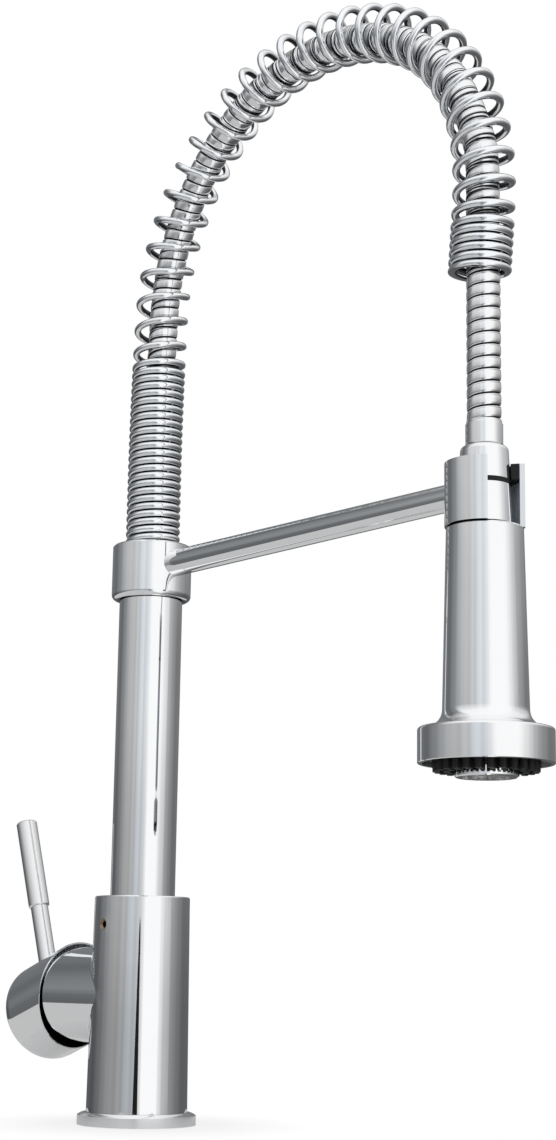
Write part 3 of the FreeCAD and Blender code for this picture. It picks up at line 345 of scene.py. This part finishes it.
def make_neck_chrome():
    """Chrome with a painted shadow in the joint round the neck's foot."""
    material = metal("neck_chrome", CHROME_DARK, CHROME_LIGHT, CHROME_ROUGH, waves=0.00003)
    tree = material.node_tree
    axes = object_place(tree)[1]
    # Painted shade: near-black below the neck's foot
    above = spread(tree, axes["Z"], 0.0, 1.0, NECK_FOOT_Z, NECK_FOOT_Z + EDGE_BLEND)
    bare_or_painted_light(material, above, NECK_JOINT_SHADE, NECK_JOINT_SHADE_ROUGH)
    return material


def make_clip_chrome():
    """Chrome outside the clip and a dull casting in its bore."""
    material = metal("clip_chrome", CHROME_DARK, CHROME_LIGHT, CHROME_ROUGH, waves=0.00008)
    tree = material.node_tree
    off_axis = from_axis(tree, object_place(tree)[0], (HEAD_X * MM, 0.0, 0.0), (0.0, 0.0, 1.0))[1]
    outside = spread(tree, off_axis, 0.0, 1.0, CLIP_INSIDE_R - EDGE_BLEND, CLIP_INSIDE_R)
    bare_or_painted_light(material, outside, CLIP_BORE, CLIP_BORE_ROUGH)
    tree.links.new(outside, tree.nodes["Principled BSDF"].inputs["Metallic"])
    return material


FINISH = {
    "polished_chrome": chrome,
    "satin_chrome": satin,
    "spring_steel": wire,
    "hose_steel": hose_steel,
    "black_rubber": black_rubber,
    "seal_rubber": seal_rubber,
    "black_plastic": black_plastic,
    "white_plastic": white_plastic,
    "ceramic": ceramic,
    "brass": brass,
    "screw_steel": steel,
}
SPECIAL = {
    "spray_ring": brushed,
    "handle_hub": make_hub_chrome(),
    "head_neck": make_neck_chrome(),
    "dock_clip": make_clip_chrome(),
    "arm_collar": cast,
    "aerator_insert": grey_plastic,
    "base_flange": flange_chrome,
    "column_set_screw": bronze,
}


def dress(obj, material):
    """Gives an object one material."""
    obj.data.materials.clear()
    obj.data.materials.append(material)


for part in frame["record"]["subparts"]:
    dress(nodes[part["node"]], SPECIAL.get(part["node"], FINISH[part["material_slot"]]))


# The arch, in millimetres; a heading is in degrees from straight up
TINY = 1e-9


def polar(heading, length):
    angle = math.radians(heading)
    return np.array((length * math.sin(angle), 0.0, length * math.cos(angle)))


def arch_pieces(offset, past, run):
    """Pieces of the arch: each a length, a start heading and a turn."""
    lean = 2 * math.degrees(ARCH_LEAN / ARCH_LEAN_RISE)
    last = 180 - lean - sum(turn for radius, turn in ARCH_ARCS)
    arcs = ARCH_ARCS + ((ARCH_DROP_R, last),)
    heading, reach = lean, 0.0
    for radius, turn in arcs:
        reach += radius * (math.cos(math.radians(heading)) - math.cos(math.radians(heading + turn)))
        heading += turn
    scale = (HEAD_X + offset - ARCH_LEAN) / reach
    turns = [(ARCH_STRAIGHT, 0.0), (ARCH_LEAN_RISE, lean)]
    turns += [(scale * radius * math.radians(turn), turn) for radius, turn in arcs]
    turns += [(scale * ARCH_DROP_R * math.radians(past), past), (run, 0.0)]
    heading, pieces = 0.0, []
    for length, turn in turns:
        pieces.append((length, heading, turn))
        heading += turn
    return pieces


def arch_point(pieces, distance):
    """The place and heading at a distance along the arch."""
    here = np.array((0.0, 0.0, SEAT_Z))
    for length, heading, turn in pieces:
        part = min(distance, length)
        swept = turn * part / length if length else 0.0
        chord = part
        if abs(swept) > TINY:
            chord = 2 * (part / math.radians(swept)) * math.sin(math.radians(swept) / 2)
        here = here + polar(heading + swept / 2, chord)
        distance -= part
        if distance <= TINY:
            return here, heading + swept
    return here + polar(heading + turn, distance), heading + turn


def route_length(pieces):
    return sum(piece[0] for piece in pieces)


def round_point(centre, heading, radius, angle):
    """A point on a circle across the arch; angle 0 is towards the arch's inside."""
    return (centre + polar(heading + 90, radius * math.cos(angle))
            + np.array((0, radius * math.sin(angle), 0)))


def mesh_object(name, points, faces, crisp):
    """A smooth mesh from points in millimetres, with edges sharper than an angle left crisp."""
    mesh = bpy.data.meshes.new(name)
    mesh.from_pydata([tuple(p * MM) for p in points], [], faces)
    mesh.validate()
    mesh.update()
    obj = bpy.data.objects.new(name, mesh)
    scene.collection.objects.link(obj)
    for polygon in mesh.polygons:
        polygon.use_smooth = True
    mesh.set_sharp_from_angle(angle=math.radians(crisp))
    return obj


def skin(rings):
    """Points and faces of a row of rings with equal counts of points, closed at both ends."""
    count = len(rings[0])
    points = [p for ring in rings for p in ring]
    faces = []
    for i in range(len(rings) - 1):
        for j in range(count):
            k = (j + 1) % count
            faces.append((i * count + j, i * count + k, (i + 1) * count + k, (i + 1) * count + j))
    faces.append(tuple(reversed(range(count))))
    faces.append(tuple((len(rings) - 1) * count + j for j in range(count)))
    return points, faces


# Spring
SPRING_TURNS = LOW_TURNS + OPEN_TURNS + END_TURNS
SPRING_STEPS = 40
SPRING_CRISP = 40
GROUND_TURNS = 2
WIRE_SIDES = 16
# These sides of the wire get the near-black wire: painted shade inside the coil
WIRE_SHADED_SIDES = (6, 10)       # these sides of the wire face the hose


def eased(turns):
    if turns < 0:
        return 0.0
    if turns < EASE:
        return turns ** 2 / (2 * EASE)
    return turns - EASE / 2


def spring_distance(turn, total):
    """The distance along the arch at a turn: tight at both ends, open and slightly uneven between."""
    low = WIRE_R + SEAT_GAP
    room = total - low - SPRING_TURNS * TIGHT_PITCH
    past = turn - LOW_TURNS
    share = (eased(past) - eased(past - OPEN_TURNS + EASE)) / (OPEN_TURNS - EASE)
    uneven = share * (1 - share) * (SKEW + SWELL * (1 - 2 * share))
    return low + turn * TIGHT_PITCH + room * (share + uneven)


def spring_line(turn, pieces, total):
    """The wire's middle at a turn and the coil's middle there."""
    centre, heading = arch_point(pieces, spring_distance(turn, total))
    angle = 2 * math.pi * (turn + START_TURN)
    return round_point(centre, heading, SPRING_R - WIRE_R, angle), centre


def wire_rings(path, centres):
    """Rings round the wire, each from its outermost point, with bevelled ends."""
    way = np.gradient(path, axis=0)
    way /= np.linalg.norm(way, axis=1)[:, None]
    angles = [2 * math.pi * j / WIRE_SIDES for j in range(WIRE_SIDES)]
    last = len(path) - 1
    rings = []
    for i in range(last + 1):
        out = path[i] - centres[i]
        out -= way[i] * out.dot(way[i])
        out /= np.linalg.norm(out)
        side = np.cross(way[i], out)
        cuts = ((WIRE_R, 0.0),)
        if i == 0:
            cuts = ((WIRE_R - WIRE_EDGE, 0.0), (WIRE_R, WIRE_EDGE))
        elif i == last:
            cuts = ((WIRE_R, -WIRE_EDGE), (WIRE_R - WIRE_EDGE, 0.0))
        for radius, along in cuts:
            middle = path[i] + way[i] * along
            rings.append([middle + radius * (math.cos(a) * out + math.sin(a) * side) for a in angles])
    return rings


def make_spring():
    pieces = arch_pieces(SPRING_OFFSET, SPRING_TILT, SPRING_RUN)
    total = route_length(pieces)
    count = int((SPRING_TURNS + SPRING_LAP) * SPRING_STEPS)
    line = [spring_line(i / SPRING_STEPS, pieces, total) for i in range(count + 1)]
    rings = wire_rings(np.array([p for p, c in line]), np.array([c for p, c in line]))
    end, heading = arch_point(pieces, total)
    down = polar(heading, 1.0)
    for ring in rings[-GROUND_TURNS * SPRING_STEPS:]:
        for j, point in enumerate(ring):
            over = (point - end).dot(down) - GROUND_AT
            if over > 0:
                ring[j] = point - down * over
    obj = mesh_object("spring_coil", *skin(rings), SPRING_CRISP)
    dress(obj, wire)
    # Painted shade: the wire's sides that face the hose take the near-black material
    obj.data.materials.append(wire_painted_shade)
    for polygon in obj.data.polygons:
        side = polygon.index % WIRE_SIDES
        polygon.material_index = int(WIRE_SHADED_SIDES[0] <= side < WIRE_SHADED_SIDES[1])
    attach(obj, "column")
    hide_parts("spring")


make_spring()

# Hose: a strip wound in a helix, each turn hooked over the next; share of a turn and depth
HOSE_SIDES = 48
HOSE_CRISP = 35
# The groove's bottom steps take the near-black metal: painted shade in the groove
HOSE_SHADED_STEPS = 3               # so many steps of the profile are the dark seam
LEAST_FACE = 0.0004         # smaller faces, left where the ends are cut, are dropped
HOSE_PROFILE = (
    (0.00, -0.75), (0.07, -0.75), (0.12, -0.70), (0.135, -0.28), (0.15, -0.16), (0.22, -0.12), (0.245, -0.20),
    (0.27, -0.04), (0.40, 0.0), (0.60, 0.0), (0.78, -0.03), (0.88, -0.09), (0.95, -0.20), (0.985, -0.34),
)
hose_bends = arch_pieces(0.0, 0.0, 0.0)
HOSE_BEND_LENGTH = route_length(hose_bends)
HOSE_RUN = arch_point(hose_bends, HOSE_BEND_LENGTH)[0][2] - HOSE_END_Z
HOSE_LENGTH = HOSE_BEND_LENGTH + HOSE_RUN
HOSE_SPLIT = HOSE_LENGTH - (HOSE_SPLIT_Z - HOSE_END_Z)
hose_route = arch_pieces(0.0, 0.0, HOSE_RUN)


def smooth(value, low, high):
    share = min(max((value - low) / (high - low), 0.0), 1.0)
    return share * share * (3 - 2 * share)


def hose_point(at):
    """The hose's middle and heading; in the bend it lies towards the arch's inside."""
    centre, heading = arch_point(hose_route, at)
    sag = HOSE_SAG * smooth(at, *SAG_FROM) * smooth(HOSE_SPLIT - at, *SAG_TO)
    return centre + polar(heading + 90, sag), heading


def face_area(points, face):
    """The area of a face with four corners."""
    a, b, c, d = (points[i] for i in face)
    return np.linalg.norm(np.cross(c - a, d - b)) / 2


def hose_mesh(name, start, end):
    """The wound strip between two distances along the hose, cut square at both ends."""
    across = len(HOSE_PROFILE)
    first = math.floor(start / RIB_PITCH) - 1
    last = (math.ceil(end / RIB_PITCH) + 1 - first) * across
    points, faces = [], []
    for m in range(last + 1):
        share, depth = HOSE_PROFILE[m % across]
        for j in range(HOSE_SIDES):
            at = RIB_PITCH * (first + m // across + share + j / HOSE_SIDES)
            centre, heading = hose_point(min(max(at, start), end))
            points.append(round_point(centre, heading, HOSE_R + depth, 2 * math.pi * j / HOSE_SIDES))
    for m in range(last):
        for j in range(HOSE_SIDES):
            low = m * HOSE_SIDES + j
            beside = low + 1
            if j == HOSE_SIDES - 1:
                if m + across + 1 > last:
                    continue
                beside = (m + across) * HOSE_SIDES
            faces.append((low, beside, beside + HOSE_SIDES, low + HOSE_SIDES))
    kept = [face for face in faces if face_area(points, face) > LEAST_FACE]
    obj = mesh_object(name, points, kept, HOSE_CRISP)
    obj.data.materials.append(hose_steel)
    obj.data.materials.append(hose_groove_shade)
    # Painted shade: faces at the groove's bottom get the near-black metal
    for polygon, face in zip(obj.data.polygons, kept):
        polygon.material_index = int(face[0] // HOSE_SIDES % across < HOSE_SHADED_STEPS)
    return obj


hose_upper = hose_mesh("hose_in_spring", HOSE_START_Z - SEAT_Z, HOSE_SPLIT)
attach(hose_upper, "column")
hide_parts("hose_arch")
hose_lower = hose_mesh("hose_to_head", HOSE_SPLIT, HOSE_LENGTH)
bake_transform(hose_lower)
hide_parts("hose_drop")


# Studio, in metres: a small table under the base, and white walls with grey flags before them
CAMERA_SIDE = np.array((0.8022, -0.5971, 0.0))
CROSSWAYS = np.array((0.5971, 0.8022, 0.0))
TABLE_FRONT = 0.13
TABLE_BACK = 0.10
TABLE_HALF = 0.085
TABLE_DROP = 0.0002
TABLE_GREY = (0.54, 0.54, 0.54, 1)
TABLE_SEEN = (0.8, 1.0)             # share of white that the camera sees, near the base and away from it
TABLE_SHADE_R = (0.035, 0.08)
TABLE_MIRRORED = 0.05               # share of white that metal sees


def stage_plane(name, corners, material):
    mesh = bpy.data.meshes.new(name)
    mesh.from_pydata([tuple(c) for c in corners], [], [(0, 1, 2, 3)])
    plane = bpy.data.objects.new(name, mesh)
    scene.collection.objects.link(plane)
    dress(plane, material)
    return plane


def make_table():
    """White to the camera away from the base, with the soft shadow kept round it."""
    material, tree, shader = new_material("table")
    node_input(shader, "Base Color", TABLE_GREY)
    node_input(shader, "Roughness", 0.9)
    node_input(shader, "Specular IOR Level", 0.1)
    glow = tree.nodes.new("ShaderNodeEmission")
    node_input(glow, "Strength", 1.0)
    path = tree.nodes.new("ShaderNodeLightPath")
    away = vector_node(tree, "LENGTH", object_place(tree)[0], (0, 0, 0))
    seen = math_node(tree, "MULTIPLY", path.outputs["Is Camera Ray"],
                     spread(tree, away, *TABLE_SEEN, *TABLE_SHADE_R))
    mirrored = math_node(tree, "MULTIPLY", path.outputs["Is Glossy Ray"], TABLE_MIRRORED)
    part = math_node(tree, "ADD", math_node(tree, "ADD", seen, mirrored), path.outputs["Is Transmission Ray"])
    mix = tree.nodes.new("ShaderNodeMixShader")
    tree.links.new(part, mix.inputs[0])
    tree.links.new(shader.outputs[0], mix.inputs[1])
    tree.links.new(glow.outputs[0], mix.inputs[2])
    tree.links.new(mix.outputs[0], tree.nodes["Material Output"].inputs["Surface"])
    drop = np.array((0, 0, -TABLE_DROP))
    near, far = CAMERA_SIDE * TABLE_FRONT + drop, -CAMERA_SIDE * TABLE_BACK + drop
    left, right = -CROSSWAYS * TABLE_HALF, CROSSWAYS * TABLE_HALF
    stage_plane("table", (near + left, near + right, far + right, far + left), material)


make_table()

# Light by compass bearing as the chrome shows it, white on the spray head's side and grey elsewhere:
# a bearing in degrees, a level and a share of blue
STUDIO = (
    (-180, 0.17, 0.08), (-165, 0.14, 0.08), (-140, 0.25, 0.08), (-125, 0.36, 0.04), (-112, 0.46, 0.02),
    (-100, 0.50, 0.0), (-92, 0.47, 0.0), (-82, 0.58, 0.02), (-75, 0.54, 0.05), (-67, 0.70, 0.10),
    (-60, 0.76, 0.12), (-52, 0.66, 0.10), (-46, 0.74, 0.08), (-41, 0.82, 0.04), (-34, 0.92, 0.02),
    (-27, 1.0, 0.0), (4, 1.0, 0.0), (13, 0.93, 0.0), (25, 0.82, 0.0), (33, 0.66, 0.0), (42, 0.48, 0.02),
    (52, 0.37, 0.03), (62, 0.29, 0.03), (85, 0.19, 0.05), (115, 0.20, 0.05), (150, 0.20, 0.08),
    (180, 0.17, 0.08),
)
# Shares by height, from straight down at -1 to straight up at 1, and by bearing
LEVEL_BY_HEIGHT = (
    (-1.0, 0.44), (-0.5, 0.50), (-0.22, 0.52), (-0.12, 0.54), (-0.02, 0.60), (0.06, 0.80), (0.14, 0.98),
    (1.0, 1.0),
)
SCREEN_BY_HEIGHT = (
    (-1.0, 0.0), (0.15, 0.0), (0.22, 0.10), (0.32, 0.36), (0.45, 0.54), (0.70, 0.80), (1.0, 0.9),
)
SCREEN_BY_BEARING = ((-180, 0.0), (-142, 0.0), (-122, 1.0), (90, 1.0), (120, 0.0), (180, 0.0))
CEILING_FROM = (0.66, 0.95)
FLAGS_TO = (0.86, 1.0)              # walls lighter than this have no flag before them
WHITE_FROM = (0.85, 1.0)            # and these are plain white to metal
DIFFUSE_SHARE = 0.6


def ramp(tree, value, stops):
    """A colour ramp; each stop is a place from 0 to 1 and a colour."""
    node = tree.nodes.new("ShaderNodeValToRGB")
    node.color_ramp.interpolation = "EASE"
    while len(node.color_ramp.elements) < len(stops):
        node.color_ramp.elements.new(0.5)
    for element, (at, colour) in zip(node.color_ramp.elements, stops):
        element.position = at
        element.color = (*colour, 1)
    tree.links.new(value, node.inputs["Fac"])
    return node.outputs["Color"]


def grey_ramp(tree, value, stops):
    """A grey ramp whose first stop is at 0 and whose last is at 1."""
    start, length = stops[0][0], stops[-1][0] - stops[0][0]
    return ramp(tree, value, [((at - start) / length, (level, level, level)) for at, level in stops])


def make_world():
    """White to the camera; metal sees that white between the flags, and plain surfaces get an even light."""
    world = bpy.data.worlds.new("studio")
    scene.world = world
    world.use_nodes = True
    tree = world.node_tree
    coords = tree.nodes.new("ShaderNodeTexCoord")
    split = tree.nodes.new("ShaderNodeSeparateXYZ")
    tree.links.new(coords.outputs["Generated"], split.inputs[0])
    bearing = math_node(tree, "ARCTAN2", split.outputs["Y"], split.outputs["X"])
    round_share = spread(tree, bearing, 0.0, 1.0, -math.pi, math.pi)
    height_share = spread(tree, split.outputs["Z"], 0.0, 1.0, -1.0, 1.0)

    walls = ramp(tree, round_share, [
        ((at + 180) / 360, (level * (1 - blue / 2), level, level * (1 + blue / 2)))
        for at, level, blue in STUDIO
    ])
    flagged = blend(tree, "MULTIPLY", 1.0, walls, grey_ramp(tree, height_share, LEVEL_BY_HEIGHT))
    flags = blend(tree, "MIX", spread(tree, walls, 0.0, 1.0, *FLAGS_TO), flagged, walls)
    ceiling = spread(tree, split.outputs["Z"], 0.0, 1.0, *CEILING_FROM)
    open_side = math_node(tree, "MAXIMUM", ceiling, grey_ramp(tree, round_share, SCREEN_BY_BEARING))
    screen = math_node(tree, "MULTIPLY", open_side, grey_ramp(tree, height_share, SCREEN_BY_HEIGHT))
    studio = blend(tree, "MIX", screen, flags, WHITE)
    path = tree.nodes.new("ShaderNodeLightPath")
    mirrored = math_node(tree, "MULTIPLY", path.outputs["Is Glossy Ray"],
                         spread(tree, studio, 0.0, 1.0, *WHITE_FROM))
    plain = math_node(tree, "MULTIPLY", path.outputs["Is Diffuse Ray"], DIFFUSE_SHARE)
    seen = math_node(tree, "MAXIMUM", path.outputs["Is Camera Ray"], path.outputs["Is Transmission Ray"])
    part = math_node(tree, "MAXIMUM", seen, math_node(tree, "MAXIMUM", mirrored, plain))
    tree.links.new(blend(tree, "MIX", part, studio, WHITE), tree.nodes["Background"].inputs["Color"])


make_world()

# Lit paper below the bench on the handle's side, which the barrel and the arm mirror from below
PAPER_Z = -0.16
PAPER_EDGE, PAPER_BACK, PAPER_HALF = 1.04, -0.15, 1.3
PAPER_BEARING = math.radians(-140)
PAPER_LEVEL = 0.54


def make_paper():
    material, tree, shader = new_material("paper")
    tree.nodes.remove(shader)
    glow = tree.nodes.new("ShaderNodeEmission")
    node_input(glow, "Strength", PAPER_LEVEL)
    tree.links.new(glow.outputs[0], tree.nodes["Material Output"].inputs["Surface"])
    out = np.array((math.cos(PAPER_BEARING), math.sin(PAPER_BEARING)))
    across = np.array((-out[1], out[0]))
    paper = stage_plane("paper", [
        (*(out * reach + across * side), PAPER_Z)
        for reach, side in ((PAPER_EDGE, -PAPER_HALF), (PAPER_EDGE, PAPER_HALF),
                            (PAPER_BACK, PAPER_HALF), (PAPER_BACK, -PAPER_HALF))
    ], material)
    paper.visible_camera = False
    paper.visible_diffuse = False
    paper.visible_shadow = False


make_paper()

# The dark camera on its stand, which the body mirrors as a narrow line
CARD_BEHIND, CARD_ASIDE = 0.03, 0.07
CARD_FOOT_HALF, CARD_FOOT_Z = 0.13, -0.14
CARD_TOP_HALF, CARD_TOP_Z = 0.025, 0.13


def make_camera_card():
    black = moulded("card_black", (0.004, 0.004, 0.004), (0.010, 0.009, 0.008), (0.7, 0.8))
    middle = np.array(CAMERA_PLACE) * MM + CAMERA_SIDE * CARD_BEHIND - CROSSWAYS * CARD_ASIDE
    card = stage_plane("camera_card", [
        (*(middle + CROSSWAYS * half)[:2], z)
        for half, z in ((-CARD_FOOT_HALF, CARD_FOOT_Z), (CARD_FOOT_HALF, CARD_FOOT_Z),
                        (CARD_TOP_HALF, CARD_TOP_Z), (-CARD_TOP_HALF, CARD_TOP_Z))
    ], black)
    card.visible_camera = False


make_camera_card()

# Lamps: a name, a place, a size and a power; metal doesn't mirror them
LAMP_AIM = (0.1, 0, 0.25)
LAMPS = (
    ("screen_light", (1.9, -1.0, 2.2), 2.2, 10.0),
    ("top_light", (-0.6, -1.1, 2.4), 2.0, 7.0),
)


def make_lamp(name, place_at, size, power):
    data = bpy.data.lights.new(name, "AREA")
    data.shape = "DISK"
    data.size = size
    data.energy = power
    lamp = bpy.data.objects.new(name, data)
    scene.collection.objects.link(lamp)
    lamp.location = place_at
    lamp.rotation_euler = (Vector(LAMP_AIM) - Vector(place_at)).to_track_quat("-Z", "Y").to_euler()
    lamp.visible_glossy = False


for lamp_values in LAMPS:
    make_lamp(*lamp_values)


def make_camera():
    data = bpy.data.cameras.new("camera")
    data.sensor_width = SENSOR
    data.lens = FOCAL_PIXELS * SENSOR / FRAME_PIXELS
    data.clip_start = CLIP_START
    camera = bpy.data.objects.new("camera", data)
    scene.collection.objects.link(camera)
    turn = Matrix((CAMERA_RIGHT, CAMERA_UP, tuple(-x for x in CAMERA_LOOK))).transposed()
    camera.matrix_world = Matrix.Translation(Vector(CAMERA_PLACE) * MM) @ turn.to_4x4()
    scene.camera = camera


make_camera()
